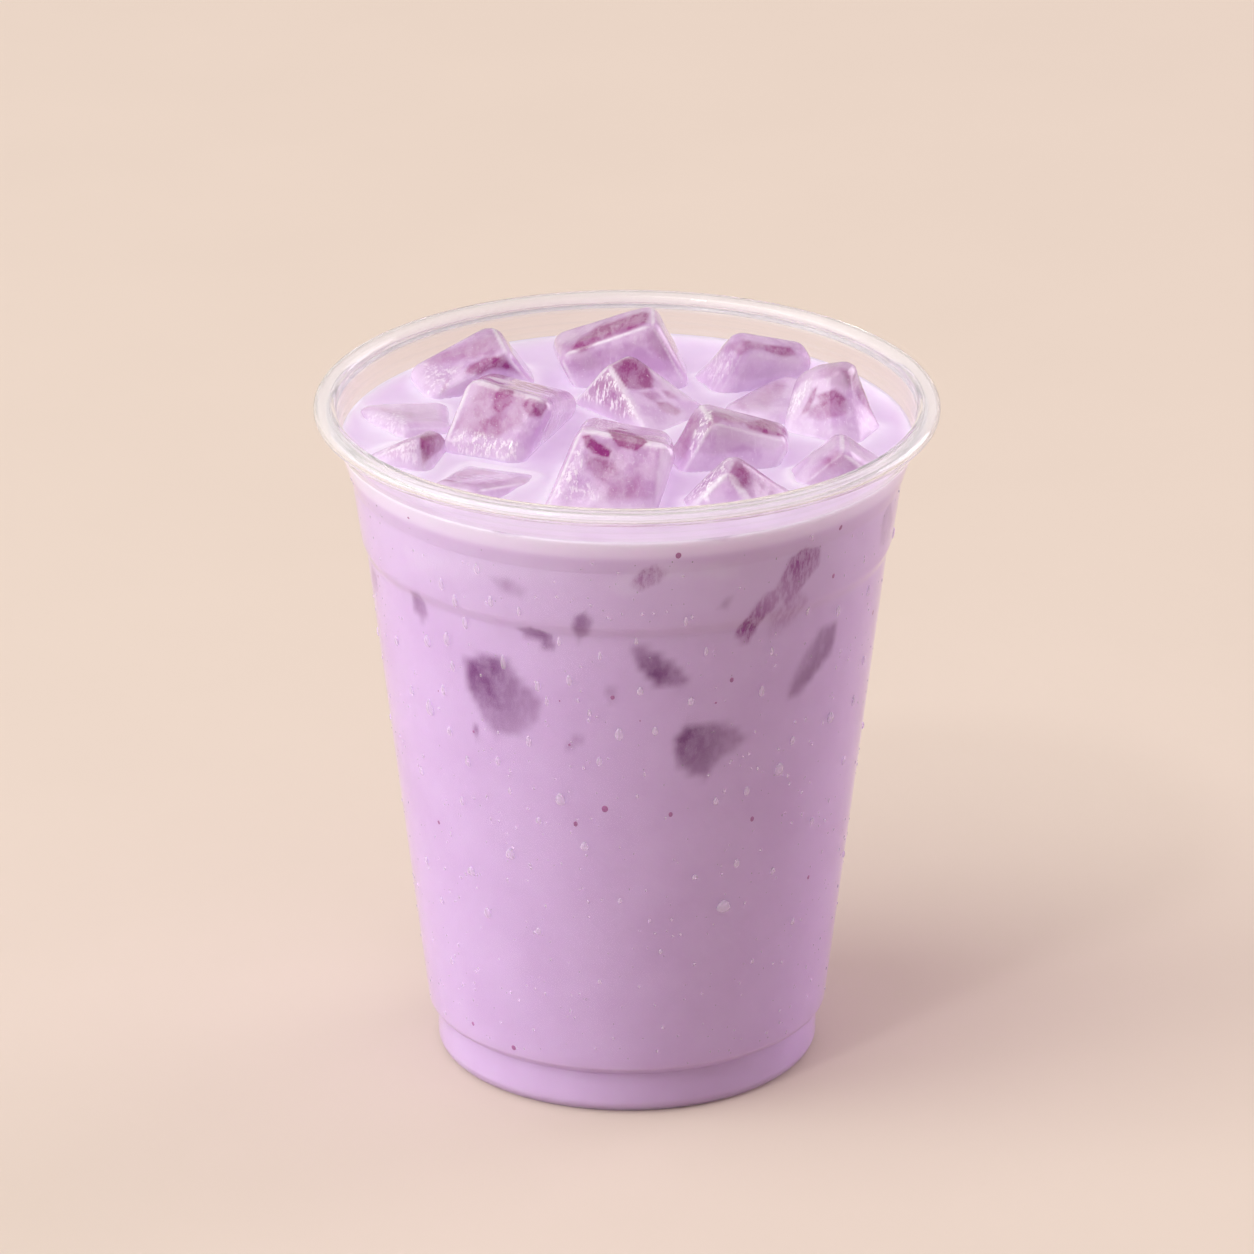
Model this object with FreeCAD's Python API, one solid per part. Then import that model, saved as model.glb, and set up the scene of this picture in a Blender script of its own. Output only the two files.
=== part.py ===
"""Iced taro latte in a clear plastic takeaway cup.

A tapered cup with a rolled rim, a stacking band and a recessed foot, filled almost to the
brim with a lilac milk drink. Irregular, rounded ice pieces float in it and stand up through
its surface. Millimetres, +Z up, origin at the middle of the underside.
"""

import math
import os

import FreeCAD
import Part

# ---- cup -----------------------------------------------------------------------------
CUP_HEIGHT = 109.5
RIM_DIAMETER = 98.0
RIM_WIDTH = 3.4            # flat top of the rolled rim, from mouth to outer edge
RIM_DEPTH = 2.2            # height of the rolled edge
WALL = 0.5                 # wall thickness
FOOT_DIAMETER = 60.6
FOOT_HEIGHT = 7.1
FOOT_ROUND = 2.0
FOOT_RING_WIDTH = 3.7      # ring the cup stands on
BASE_RECESS = 1.2          # how far the middle of the base is raised off the table
BASE_THICKNESS = 0.7

# The outside bends at these places. An inset is measured in from the rim's outer edge,
# a drop is measured down from the brim.
NECK_INSET = 3.45          # where the flare turns up into the rim
NECK_DROP = 5.1
BAND_TOP_INSET = 5.8       # top of the stacking band
BAND_TOP_DROP = 12.1
BAND_INSET = 7.2           # foot of the stacking band
BAND_DROP = 21.9
BODY_TOP_INSET = 7.95      # top of the straight taper, below the band's step
BODY_TOP_DROP = 23.6
BODY_STEP = 1.45           # the taper starts this much outside the foot
BODY_STEP_RISE = 1.1

# ---- drink and ice -------------------------------------------------------------------
DRINK_DROP = 6.4           # surface of the drink, below the brim
ICE_ROUND = 2.2            # rounding of the melted edges

# Each ice piece: centre (its height taken from the drink's surface), three thicknesses,
# turn (yaw, pitch, roll), and the lean of its six faces, so that no piece is a true box.
ICE_PIECES = [
    ((-22.2, 26.9, -3.6), (15.1, 10.1, 17.3), (-166, 35, 171),
     (-5, 1, 5, 3, -9, 0)),
    ((-18.6, 2.5, 0.2), (13.3, 14.8, 17.6), (-13, 11, -128),
     (0, 10, -21, 1, -16, -4)),
    ((-32.5, 7.9, -7.2), (12.6, 15.3, 11.1), (-71, -4, -87),
     (9, 3, 8, 0, 14, 17)),
    ((-33.7, -7.5, -6.6), (12, 15.6, 10.7), (-13, -28, -107),
     (-2, 10, -4, 0, -6, 1)),
    ((-0.5, 27, 1.2), (17, 9.3, 14), (179, 28, 180),
     (1, -10, -4, 21, -8, -3)),
    ((-0.1, 13.7, -4), (17.4, 10.9, 16.9), (149, 56, -174),
     (-9, 0, -16, -16, -5, 0)),
    ((18.4, 26.8, -3), (13.8, 9, 20.6), (-151, -23, 157),
     (4, 5, -10, -11, 6, 0)),
    ((23.3, 15.9, -6.8), (9, 15.6, 15.8), (-32, 3, -174),
     (-10, -14, 1, -1, 0, 0)),
    ((34.4, 5.6, 0.2), (9, 9, 17.9), (141, 23, 172),
     (17, 10, -22, -2, -3, -3)),
    ((14.6, -8.1, -2.5), (14.7, 9.1, 18), (-170, -30, -179),
     (-13, -5, 1, 0, 11, 0)),
    ((-2, -19.4, -0.6), (14.5, 20.7, 17.6), (164, -14, -163),
     (12, -7, -22, 1, 7, 0)),
    ((-22.8, -19.7, -7.3), (11.8, 18, 15.6), (154, 4, -168),
     (-11, -11, 2, 1, -3, 0)),
    ((16.3, -25.6, -5.3), (16.9, 9.4, 16.9), (167, 42, 163),
     (-22, 0, -18, -9, 6, 0)),
    ((31.6, -13.8, -3.5), (15.5, 9, 11.7), (-178, 47, 176),
     (-6, -1, 3, -14, -7, -7)),
]


def section(corners):
    """Closed wire in the XZ plane through (radius, height, rounding) corners."""
    points = [FreeCAD.Vector(r, 0, z) for r, z, _ in corners]
    edges = []
    starts = []
    ends = []
    for i, (_, _, rounding) in enumerate(corners):
        here = points[i]
        back = points[i - 1] - here
        ahead = points[(i + 1) % len(points)] - here
        if rounding == 0:
            starts.append(here)
            ends.append(here)
            continue
        half = back.getAngle(ahead) / 2
        reach = rounding / math.tan(half)
        back.normalize()
        ahead.normalize()
        inward = back + ahead
        inward.normalize()
        middle = here + inward * (rounding / math.sin(half) - rounding)
        starts.append(here + back * reach)
        ends.append(here + ahead * reach)
        edges.append(Part.Arc(starts[i], middle, ends[i]).toShape())
    for i in range(len(points)):
        after = (i + 1) % len(points)
        edges.append(Part.LineSegment(ends[i], starts[after]).toShape())
    return Part.Wire(Part.__sortEdges__(edges))


def turned(corners):
    """Solid of revolution about Z from a half section."""
    face = Part.Face(section(corners))
    return face.revolve(FreeCAD.Vector(0, 0, 0), FreeCAD.Vector(0, 0, 1), 360)


def bends(wall):
    """Corners shared by both faces of the side wall, moved in by the wall where asked."""
    rim = RIM_DIAMETER / 2 - wall
    foot = FOOT_DIAMETER / 2 - wall
    rise = 0.4 * wall
    return [
        (foot, FOOT_HEIGHT + rise, 0.3),
        (foot + BODY_STEP, FOOT_HEIGHT + BODY_STEP_RISE + rise, 0.8 - rise),
        (rim - BODY_TOP_INSET, CUP_HEIGHT - BODY_TOP_DROP + rise, 0.6),
        (rim - BAND_INSET, CUP_HEIGHT - BAND_DROP + rise, 0.8 - rise),
        (rim - BAND_TOP_INSET, CUP_HEIGHT - BAND_TOP_DROP, 1.5 + wall),
        (rim - NECK_INSET, CUP_HEIGHT - NECK_DROP, 2.0 - wall),
    ]


def cup_outside():
    """The cup's outer form, without its hollow."""
    foot = FOOT_DIAMETER / 2
    ring = foot - FOOT_RING_WIDTH
    rim = RIM_DIAMETER / 2
    under_rim = CUP_HEIGHT - RIM_DEPTH
    return turned([
        (0, BASE_RECESS, 0),
        (ring - 0.6, BASE_RECESS, 0.5),
        (ring, 0, 0.4),
        (foot, 0, FOOT_ROUND),
        *bends(0),
        (rim - NECK_INSET + 0.4, under_rim, 0),
        (rim, under_rim, 0.6),
        (rim, CUP_HEIGHT, 1.0),
        (0, CUP_HEIGHT, 0),
    ])


def cup_hollow():
    """Inside of the cup, from the base up to the brim."""
    foot = FOOT_DIAMETER / 2 - WALL
    ring = FOOT_DIAMETER / 2 - FOOT_RING_WIDTH + WALL
    floor = BASE_RECESS + BASE_THICKNESS
    return turned([
        (0, floor, 0),
        (ring - 0.6, floor, 0.4),
        (ring, BASE_THICKNESS, 0.3),
        (foot, BASE_THICKNESS, FOOT_ROUND - WALL),
        *bends(WALL),
        (RIM_DIAMETER / 2 - RIM_WIDTH, CUP_HEIGHT, 0),
        (0, CUP_HEIGHT, 0),
    ])


def ice_piece(centre, size, turn, lean):
    """Six-sided rounded piece whose faces each lean a little."""
    planes = []
    for axis in range(3):
        for side in (0, 1):
            normal = [0.0, 0.0, 0.0]
            normal[axis] = 1.0 if side else -1.0
            normal[(axis + 1) % 3] = math.tan(math.radians(lean[2 * axis + side]))
            planes.append((FreeCAD.Vector(*normal), size[axis] / 2))
    placement = FreeCAD.Placement(FreeCAD.Vector(*centre), FreeCAD.Rotation(*turn))
    faces = []
    for axis in range(3):
        for side in (0, 1):
            loop = []
            for first, second in ((0, 0), (1, 0), (1, 1), (0, 1)):
                sides = [0, 0, 0]
                sides[axis] = side
                sides[(axis + 1) % 3] = first
                sides[(axis + 2) % 3] = second
                loop.append(placement.multVec(meeting(planes, sides)))
            if side == 0:
                loop.reverse()
            faces.append(Part.Face(Part.makePolygon(loop + [loop[0]])))
    shell = Part.Shell(faces)
    shell.sewShape()
    solid = Part.Solid(shell)
    return solid.makeFillet(ICE_ROUND, solid.Edges).Solids[0]


def meeting(planes, sides):
    """Point where three neighbouring face planes meet."""
    (n1, d1), (n2, d2), (n3, d3) = [planes[2 * axis + sides[axis]] for axis in range(3)]
    a = n2.cross(n3)
    b = n3.cross(n1)
    c = n1.cross(n2)
    return (a * d1 + b * d2 + c * d3) / n1.dot(a)


def export(shape, node):
    """Write one node as a single solid."""
    assert shape.isValid() and len(shape.Solids) == 1, node
    shape.exportStep("parts/" + node + ".step")


def build():
    os.makedirs("parts", exist_ok=True)
    hollow = cup_hollow()
    export(cup_outside().cut(hollow), "cup")
    level = CUP_HEIGHT - DRINK_DROP
    drink = hollow.common(Part.makeCylinder(RIM_DIAMETER / 2, level))
    for number, (centre, size, turn, lean) in enumerate(ICE_PIECES, 1):
        x, y, height = centre
        piece = ice_piece((x, y, level + height), size, turn, lean)
        drink = drink.cut(piece)
        export(piece, "ice_%02d" % number)
    export(drink, "drink")


build()
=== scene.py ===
"""Looks of the iced taro latte: clear plastic cup, lilac milk drink, wet ice, drops.

Lengths in the tables are millimetres in the part's own frame; meshes are made in metres.
"""
import math
import random

import bmesh
import bpy
import numpy as np
from mathutils import Matrix, Vector, noise


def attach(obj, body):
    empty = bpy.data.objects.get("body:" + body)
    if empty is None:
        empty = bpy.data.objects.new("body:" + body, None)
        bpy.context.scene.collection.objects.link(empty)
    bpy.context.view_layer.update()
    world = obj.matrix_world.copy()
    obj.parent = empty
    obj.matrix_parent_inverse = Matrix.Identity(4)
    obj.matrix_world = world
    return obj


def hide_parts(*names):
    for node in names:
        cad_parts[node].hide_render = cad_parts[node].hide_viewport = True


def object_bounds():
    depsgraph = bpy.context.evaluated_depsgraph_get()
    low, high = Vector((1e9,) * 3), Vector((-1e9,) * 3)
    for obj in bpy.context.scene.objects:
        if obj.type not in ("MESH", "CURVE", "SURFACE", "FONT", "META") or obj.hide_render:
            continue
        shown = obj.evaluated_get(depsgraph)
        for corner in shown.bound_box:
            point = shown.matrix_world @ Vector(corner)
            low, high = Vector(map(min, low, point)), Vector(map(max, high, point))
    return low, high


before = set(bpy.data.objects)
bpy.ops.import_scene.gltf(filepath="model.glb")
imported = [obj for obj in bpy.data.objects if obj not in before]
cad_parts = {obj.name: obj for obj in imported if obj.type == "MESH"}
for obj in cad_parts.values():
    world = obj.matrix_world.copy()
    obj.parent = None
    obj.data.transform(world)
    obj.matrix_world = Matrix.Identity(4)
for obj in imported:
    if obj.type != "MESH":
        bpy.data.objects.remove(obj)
CAD_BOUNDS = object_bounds()
random.seed(7)
MM = 0.001

# ---- sizes, the same as the part's ------------------------------------------------------
# RIM, MOUTH and FOOT are radii. SIDE is the outside of the wall from foot to neck: radius,
# height, rounding of the corner.
CUP_HEIGHT = 109.5
RIM = 49.0
MOUTH = 45.6
WALL = 0.5
FOOT = 30.3
LEVEL = 103.1
SIDE = [(FOOT, 7.1, 0.3), (31.75, 8.2, 0.8), (41.05, 85.9, 4.0), (41.8, 87.6, 4.0),
        (43.2, 97.4, 1.5), (45.55, 104.4, 2.0)]

# ---- sizes of the looks alone -----------------------------------------------------------
# The middle of the drink's top lies at SURFACE; its wet edge climbs the wall to WET_EDGE.
SURFACE = LEVEL - 1.0
WET_EDGE = LEVEL + 0.4
# The wall's outer radius there.
WET_RADIUS = 45.1
# A point this near the axis stands for the middle of a turned shape.
AXIS = 0.01
# Heights of the rim's underside and of the inner corner below the mouth.
RIM_UNDER = 107.3
NECK_TOP = 106.6
# The closed hollow inside the rolled rim: radius, height, rounding.
ROLL = [(46.35, 107.85, 0.3), (48.5, 107.8, 0.6), (48.5, 109.05, 0.6), (46.2, 109.05, 0.4),
        (46.35, 107.85, 0.3)]
# Painted highlight lines where light catches the steps in the neck: height above LEVEL, how milky
# the plastic is drawn there.
LEDGES = [(1.0, 0.8), (2.1, 0.5), (3.1, 0.35)]
LEDGE_SIZE = 0.16
CUP_SEGMENTS = 300
# Columns of the drink in degrees, fine at the front: first, step, number of them.
DRINK_COLUMNS = [(-96, 0.62, 310), (96.2, 1.86, 91)]
DRINK_RINGS = 102
ICE_COUNT = 14
# Size of the even faces on the ice.
ICE_GRID = 0.32
# Evening out thins the ice: this is put back all over, and this much more on its edges.
ICE_SKIN = 0.28
ICE_EDGE = 0.1
# How far some ice bulges to its left: at its top, at the waterline.
BULGE = {1: (0.5, 0.9), 2: (0.6, 1.6), 3: (1.4, 1.4), 9: (0.2, 4.4), 11: (0.5, 1.7)}
# How much a mark fades from its strongest point to its far edge, on ice and on drink.
ICE_FADE = 0.2
SUNK_FADE = 0.62
# Marks, drops and specks that are placed at random round the sides and back.
FAR_MARKS = 26
FAR_DROPS = 36
FAR_SPECKS = 34
MIST_DROPS = 1500
# No mist sits on this ring of the wall.
DRY_RING = (84, 89)
# Beads wider than this get more faces; all are sunk this deep into the wall.
FINE_BEAD = 0.3
BEAD_SUNK = 0.05

# The eye looks at the front from this much above the table's plane.
LOOK_DOWN = math.radians(22.643)
RIGHT = np.array([1.0, 0.0, 0.0])
UP = np.array([0.0, math.sin(LOOK_DOWN), math.cos(LOOK_DOWN)])
AWAY = np.array([0.0, math.cos(LOOK_DOWN), -math.sin(LOOK_DOWN)])

# ---- marks ------------------------------------------------------------------------------
# A zone is a kind (s stain, f frost, p pale, m rosy threads), a strength from 0 to 1, the
# softness of its edge in mm, and points as pairs of numbers in a row: where the zone is
# strongest, then its outline.
# Zones on the ice: the piece's number comes first; a point is across and up as seen from
# the front.
ICE_ZONES = [
    (1, "s", 0.42, 0.7, [-23.4, 109.4, -32.1, 108.1, -25.0, 110.8, -20.7, 111.9, -19.6, 110.2,
     -20.7, 108.3, -26.6, 107.5, -29.7, 106.9, -32.1, 106.5]),
    (1, "s", 0.8, 0.45, [-20.2, 106.9, -25.0, 106.9, -22.6, 108.1, -19.4, 108.4, -18.6, 107.2,
     -15.3, 104.8, -19.9, 106.1, -21.8, 105.9, -23.4, 104.8, -25.9, 105.6]),
    (1, "f", 0.7, 0.7, [-33.7, 104.6, -32.3, 107.3, -28.2, 106.9, -26.1, 106.5, -27.4, 104.5,
     -29.7, 101.6, -32.3, 101.9]),
    (1, "s", 0.35, 0.6, [-25.0, 104.6, -23.7, 104.6, -25.3, 102.7, -26.6, 101.3, -29.7, 101.4,
     -27.4, 103.8]),
    (1, "s", 0.75, 0.25, [-28.8, 103.7, -28.2, 104.9, -28.5, 103.2, -29.1, 102.1, -29.6, 102.4]),
    (2, "s", 0.5, 0.8, [-21.1, 102.1, -23.0, 103.5, -19.8, 103.6, -15.2, 101.6, -16.1, 96.9,
     -20.3, 94.6, -24.5, 95.2, -27.2, 96.1, -25.5, 99.2]),
    (2, "s", 0.85, 0.4, [-19.8, 101.4, -19.8, 102.8, -17.7, 102.1, -18.1, 100.0, -19.7, 98.5,
     -21.2, 99.6, -20.9, 101.6]),
    (2, "s", 0.8, 0.35, [-14.8, 99.6, -16.4, 100.0, -15.2, 101.1, -12.5, 100.5, -12.2, 99.4,
     -13.4, 97.8, -15.5, 98.0]),
    (2, "s", 0.4, 0.6, [-21.7, 96.9, -23.7, 97.1, -19.8, 98.5, -18.9, 95.8, -20.6, 94.4,
     -23.7, 95.2]),
    (2, "f", 0.95, 0.8, [-21.4, 93.3, -27.7, 95.2, -25.8, 96.3, -19.8, 94.9, -16.4, 94.1,
     -17.3, 91.0, -21.7, 91.3, -27.0, 92.1]),
    (2, "s", 0.7, 0.3, [-13.6, 102.7, -17.5, 103.8, -13.6, 103.3, -10.0, 102.2, -11.1, 101.6,
     -15.2, 102.2, -17.5, 103.0]),
    (2, "s", 0.7, 0.3, [-12.2, 96.1, -13.4, 94.7, -12.5, 96.9, -11.1, 97.8, -11.1, 96.6,
     -12.3, 94.9]),
    (2, "p", 0.8, 0.5, [-11.1, 99.2, -8.9, 101.4, -7.3, 98.6, -10.2, 94.6, -13.9, 90.8,
     -15.8, 91.0, -13.6, 94.2, -11.7, 98.5]),
    (3, "f", 0.5, 0.6, [-38.8, 97.0, -41.1, 99.1, -35.6, 99.1, -33.7, 97.0, -36.4, 94.7,
     -39.5, 93.1, -41.6, 96.3]),
    (3, "s", 0.5, 0.35, [-38.0, 99.9, -42.2, 100.3, -38.0, 100.2, -33.7, 98.9, -33.7, 98.1,
     -38.0, 99.2, -41.9, 99.5]),
    (3, "s", 0.35, 0.4, [-41.9, 97.0, -42.4, 99.7, -41.3, 99.1, -40.6, 94.7, -39.1, 93.1,
     -41.6, 94.7]),
    (3, "s", 0.15, 0.6, [-30.9, 99.4, -35.6, 100.3, -27.0, 99.9, -27.0, 97.0, -32.5, 96.3,
     -33.7, 97.8]),
    (4, "s", 1.0, 0.35, [-31.1, 93.3, -32.2, 95.0, -29.2, 95.8, -27.8, 95.0, -29.0, 93.0,
     -30.6, 91.4, -31.8, 90.5, -32.2, 93.0]),
    (4, "s", 0.5, 0.5, [-30.0, 95.8, -32.2, 96.4, -26.8, 96.9, -27.9, 94.8, -32.2, 94.4]),
    (4, "f", 0.6, 0.6, [-34.7, 92.2, -38.6, 92.0, -36.1, 94.5, -33.9, 96.1, -32.6, 95.8,
     -32.3, 93.0, -32.2, 90.3, -34.7, 90.9]),
    (4, "s", 0.3, 0.6, [-35.4, 93.0, -38.6, 92.0, -36.1, 94.5, -33.9, 96.1, -32.3, 93.0,
     -34.7, 90.9]),
    (5, "s", 0.72, 0.45, [-2.7, 112.6, -7.8, 111.0, -4.3, 113.4, 2.1, 115.5, 3.8, 115.3,
     3.0, 113.2, -0.3, 112.0, -4.3, 110.5, -7.2, 108.9, -8.9, 109.3]),
    (5, "s", 0.5, 0.4, [0.8, 114.2, -1.8, 112.1, -0.5, 114.5, 3.0, 115.6, 3.8, 114.5, 2.1, 112.8]),
    (5, "s", 0.35, 0.6, [-9.1, 110.1, -11.0, 110.4, -7.8, 110.5, -4.3, 110.2, -7.2, 108.5,
     -9.7, 108.9]),
    (5, "s", 0.22, 0.7, [-4.3, 107.5, -9.7, 107.5, -4.3, 109.1, 2.1, 111.0, 1.1, 109.4,
     -4.0, 106.6, -6.7, 104.6, -9.4, 105.1]),
    (5, "s", 0.4, 0.4, [5.6, 110.2, 2.9, 111.8, 4.5, 112.6, 7.3, 109.4, 7.2, 107.3, 5.3, 108.0,
     3.3, 109.4]),
    (5, "p", 0.9, 0.35, [6.8, 111.8, 4.0, 115.9, 5.3, 114.3, 10.2, 108.5, 8.9, 106.9, 7.8, 109.4,
     5.3, 112.9]),
    (6, "s", 0.78, 0.35, [0.5, 105.6, -3.0, 106.7, -0.8, 107.9, 1.3, 108.2, 2.8, 107.1, 4.3, 104.3,
     4.1, 102.9, 2.1, 102.6, -0.9, 102.9]),
    (6, "s", 0.55, 0.6, [-4.3, 103.0, -7.4, 101.8, -4.3, 105.1, -3.0, 106.2, -0.8, 103.0,
     1.4, 100.2, 1.7, 98.1, -1.1, 98.1, -4.3, 100.2, -6.6, 101.0]),
    (6, "f", 1.0, 0.5, [-3.5, 101.9, -7.4, 101.8, -4.3, 105.1, -3.0, 106.2, -0.8, 103.0,
     1.4, 100.2, 1.7, 98.1, -1.1, 98.1, -4.3, 100.2, -6.6, 101.0]),
    (6, "p", 0.8, 0.5, [8.4, 103.0, 3.6, 106.2, 9.9, 103.7, 12.5, 100.7, 8.7, 100.8, 5.5, 103.4]),
    (6, "s", 0.75, 0.3, [6.3, 100.0, 4.4, 100.8, 6.5, 100.8, 9.0, 99.3, 7.9, 98.5, 5.5, 99.1]),
    (6, "s", 0.55, 0.25, [6.8, 102.1, 5.5, 102.6, 6.9, 102.6, 8.4, 101.3, 6.5, 101.3]),
    (6, "s", 0.4, 0.4, [3.6, 101.8, 1.4, 102.4, 4.4, 102.6, 5.8, 101.1, 3.6, 100.8]),
    (6, "p", 0.9, 0.2, [-1.7, 105.1, -3.0, 106.7, -2.4, 106.5, 2.1, 99.6, 2.1, 98.3, -0.2, 101.9]),
    (7, "s", 0.35, 0.5, [16.0, 110.0, 13.7, 109.3, 18.3, 111.2, 19.5, 110.5, 17.2, 108.9,
     14.8, 108.9]),
    (7, "s", 0.7, 0.3, [24.6, 109.3, 21.4, 110.3, 25.9, 109.8, 27.0, 108.5, 24.6, 108.2,
     21.9, 108.9]),
    (7, "s", 0.5, 0.4, [19.5, 110.0, 16.8, 108.9, 18.7, 110.8, 21.4, 110.5, 23.0, 108.9,
     19.5, 109.3, 17.6, 107.9]),
    (7, "f", 0.6, 0.6, [14.0, 107.0, 11.6, 105.8, 14.0, 108.9, 17.3, 109.3, 16.5, 105.2,
     13.5, 103.9]),
    (7, "p", 0.6, 0.6, [22.7, 106.2, 17.9, 107.8, 20.3, 109.0, 27.5, 107.8, 29.1, 105.4,
     24.3, 105.4, 18.7, 103.0, 17.2, 104.6]),
    (8, "s", 0.42, 0.6, [21.9, 102.1, 15.5, 101.3, 21.1, 103.8, 25.8, 104.9, 24.6, 102.1,
     22.0, 99.2, 17.9, 99.6]),
    (9, "p", 0.9, 0.4, [26.4, 101.3, 24.0, 100.0, 27.2, 103.3, 29.2, 104.9, 28.7, 102.4,
     26.5, 99.1, 24.3, 97.4]),
    (9, "f", 0.8, 0.5, [26.4, 101.3, 24.0, 100.0, 27.2, 103.3, 29.2, 104.9, 28.7, 102.4,
     26.5, 99.1, 24.3, 97.4]),
    (9, "s", 0.75, 0.2, [28.7, 101.0, 27.2, 98.5, 28.9, 102.2, 30.0, 103.5, 29.5, 101.3,
     28.1, 98.9]),
    (9, "s", 0.75, 0.4, [32.2, 101.1, 29.4, 101.8, 32.7, 102.7, 34.4, 101.0, 33.6, 99.6,
     30.6, 100.0]),
    (9, "s", 0.5, 0.4, [31.1, 99.1, 27.9, 99.4, 30.3, 100.5, 33.4, 99.7, 34.8, 101.0, 34.4, 98.5,
     30.3, 97.7, 28.3, 98.3]),
    (9, "s", 0.5, 0.4, [36.3, 102.5, 33.0, 106.3, 35.0, 105.5, 39.1, 100.7, 40.7, 96.0, 38.5, 98.0,
     35.8, 101.6, 34.2, 104.1]),
    (9, "s", 0.3, 0.5, [31.6, 105.7, 30.0, 105.4, 32.2, 106.9, 33.8, 106.0, 33.4, 104.4,
     30.3, 104.1]),
    (10, "s", 0.55, 0.4, [9.0, 95.2, 7.5, 95.1, 8.9, 97.2, 11.1, 99.0, 11.5, 96.9, 10.1, 94.3,
     9.2, 91.5, 7.6, 91.5, 7.2, 93.5]),
    (10, "s", 0.5, 0.35, [7.6, 92.9, 7.0, 94.0, 8.2, 93.7, 9.2, 91.5, 7.5, 91.3]),
    (10, "f", 1.0, 0.4, [11.7, 96.0, 11.1, 98.8, 13.4, 99.1, 13.1, 96.8, 11.5, 93.5, 10.0, 90.9,
     9.5, 92.7]),
    (10, "s", 0.6, 0.3, [13.9, 98.2, 13.1, 99.0, 14.8, 98.8, 18.5, 97.6, 17.9, 96.6, 14.8, 97.4,
     13.4, 96.6, 12.3, 94.3, 11.8, 94.9]),
    (10, "s", 0.8, 0.3, [21.9, 96.5, 17.9, 97.2, 21.5, 97.9, 24.6, 96.5, 25.2, 94.9, 22.3, 94.9,
     19.1, 95.8]),
    (10, "p", 0.6, 0.6, [19.9, 94.4, 13.9, 96.2, 17.6, 96.6, 24.7, 94.3, 24.0, 91.2, 17.9, 93.4,
     13.2, 91.8]),
    (10, "s", 0.22, 0.6, [16.0, 94.4, 13.9, 96.2, 17.6, 96.6, 18.4, 93.4, 13.2, 91.8]),
    (11, "s", 1.0, 0.3, [-5.4, 93.4, -7.1, 94.8, -5.7, 95.3, -4.2, 93.6, -2.2, 92.5, -2.8, 91.4,
     -5.0, 91.9, -6.5, 93.1]),
    (11, "s", 1.0, 0.3, [-0.3, 94.4, -3.4, 95.9, -1.1, 96.1, 2.2, 94.8, 3.3, 93.8, 1.4, 92.4,
     -1.4, 93.1]),
    (11, "s", 0.45, 0.35, [0.5, 95.8, -4.2, 97.0, 4.3, 94.8, 6.1, 93.4, 3.6, 93.6, -1.1, 95.3]),
    (11, "s", 0.5, 0.8, [-4.5, 90.3, -6.8, 92.1, -2.3, 91.1, -0.5, 88.8, -3.6, 87.5, -6.5, 89.4]),
    (11, "s", 0.28, 0.9, [-1.1, 90.5, -6.7, 94.4, 6.1, 93.0, 5.3, 85.1, -4.2, 84.1, -5.7, 89.7]),
    (11, "s", 0.3, 0.7, [-0.3, 86.6, -4.2, 88.2, 2.0, 88.5, 2.8, 85.1, -2.6, 84.3]),
    (11, "f", 0.75, 0.6, [-9.2, 88.2, -12.4, 84.9, -9.8, 89.7, -7.1, 93.6, -6.5, 90.3,
     -7.8, 84.9]),
    (11, "f", 0.6, 0.6, [-6.5, 85.8, -10.4, 84.8, -5.7, 87.9, -3.4, 84.6]),
    (11, "p", 0.8, 0.35, [5.7, 88.9, 5.1, 92.8, 6.8, 92.5, 6.5, 86.6, 4.3, 84.0, 4.5, 88.2]),
    (12, "s", 0.68, 0.35, [-25.7, 88.9, -29.4, 88.0, -26.5, 89.5, -23.0, 90.3, -20.8, 89.5,
     -24.2, 88.4, -27.0, 87.5]),
    (12, "s", 0.6, 0.25, [-21.4, 89.4, -23.0, 90.0, -19.4, 89.2, -21.7, 88.8]),
    (12, "s", 0.35, 0.5, [-18.0, 87.7, -26.5, 87.2, -21.1, 88.4, -16.5, 88.9, -12.5, 88.0,
     -13.4, 86.3, -19.6, 86.3]),
    (12, "s", 0.75, 0.3, [-14.9, 87.5, -16.5, 88.0, -14.2, 87.7, -13.2, 88.0, -13.6, 86.9,
     -15.7, 86.9]),
    (12, "s", 0.6, 0.4, [-18.8, 81.1, -23.0, 82.1, -14.9, 82.1, -14.9, 80.3, -18.0, 79.5,
     -21.4, 80.0]),
    (13, "s", 0.6, 0.5, [16.7, 88.8, 15.5, 89.1, 16.6, 91.0, 19.0, 89.5, 19.0, 87.0, 17.4, 86.2,
     15.8, 87.5]),
    (13, "s", 0.42, 0.5, [20.4, 88.2, 16.9, 91.9, 22.0, 90.2, 26.7, 87.2, 22.0, 85.5, 18.1, 85.0,
     16.6, 88.7]),
    (13, "f", 1.0, 0.5, [12.4, 87.9, 8.8, 84.7, 11.2, 88.4, 14.6, 91.8, 16.3, 91.3, 14.4, 87.9,
     12.7, 84.4]),
    (13, "s", 0.3, 0.5, [11.2, 86.1, 8.8, 84.7, 11.2, 88.4, 13.1, 87.9, 11.8, 84.4]),
    (13, "s", 0.5, 0.4, [13.5, 80.7, 9.7, 82.1, 17.7, 82.1, 16.7, 79.6, 11.5, 79.5]),
    (14, "s", 0.42, 0.5, [32.3, 90.8, 27.5, 87.7, 29.9, 91.2, 32.0, 92.9, 34.6, 92.0, 37.2, 90.0,
     32.3, 88.3, 28.7, 87.1]),
    (14, "s", 0.3, 0.4, [32.0, 91.2, 29.9, 90.9, 32.7, 92.6, 33.7, 91.2, 31.5, 89.7]),
    (14, "p", 0.5, 0.5, [29.2, 92.5, 26.8, 88.5, 28.7, 92.8, 31.5, 94.3, 32.4, 93.4, 29.9, 91.6]),
]
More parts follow.
